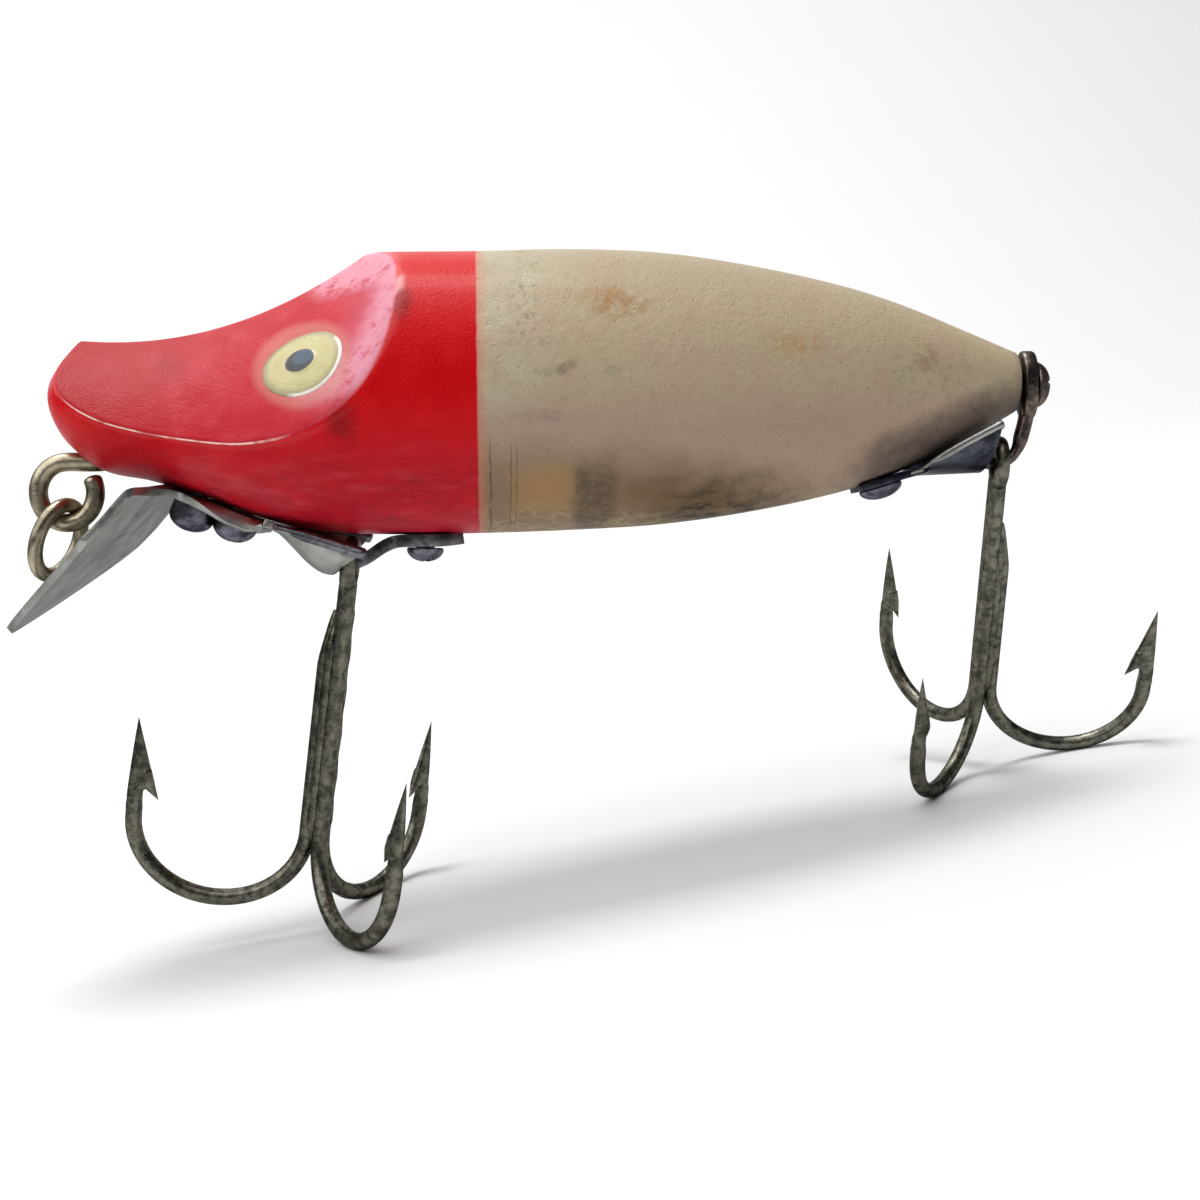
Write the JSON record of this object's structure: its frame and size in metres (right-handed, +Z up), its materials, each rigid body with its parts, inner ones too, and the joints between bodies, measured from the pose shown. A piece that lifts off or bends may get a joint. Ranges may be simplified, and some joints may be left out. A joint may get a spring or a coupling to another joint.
{
  "type": "fishing lure",
  "caption": "Diving plug with scooped face, painted eyes, metal diving lip, wire line tie and treble hooks on metal hangers.",
  "frame": {"origin": "centre of the bounding box, on the plane that the hooks stand on", "axes": "+X from nose to tail, +Z up, +Y to the far side of the lure as pictured"},
  "size_m": [0.0756, 0.028, 0.0428],
  "materials": {
    "plug_paint": "aged red and off-white gloss paint, crazed and stained",
    "bright_metal": "dulled nickel plate",
    "dark_metal": "tarnished nickel plate",
    "tie_wire": "tarnished plated wire",
    "hook_wire": "darkened bronzed steel wire"
  },
  "bodies": {
    "lure": {"body": "plug_paint", "diving_lip": "bright_metal", "rear_hook_cup": "bright_metal", "hook_strap": "dark_metal", "tail_hanger": "dark_metal", "line_tie_eye": "tie_wire", "line_tie_link": "tie_wire", "chin_screw_front": "dark_metal", "chin_screw_rear": "dark_metal", "strap_screw": "dark_metal", "rear_cup_screw": "dark_metal", "tail_screw": "dark_metal"},
    "front_hook": {"front_treble": "hook_wire"},
    "rear_hook": {"rear_treble": "hook_wire"}
  },
  "joints": [
    {"name": "front_hook_swing", "type": "hinge", "parent": "lure", "child": "front_hook", "pos_m": [-0.01565, -0.00292, 0.0233], "axis": [0.0139, -0.997, 0.076], "range_deg": [0, 50]},
    {"name": "rear_hook_swing", "type": "hinge", "parent": "lure", "child": "rear_hook", "pos_m": [0.02772, -0.00243, 0.02176], "axis": [0.0139, -0.997, 0.076], "range_deg": [0, 50]}
  ]
}
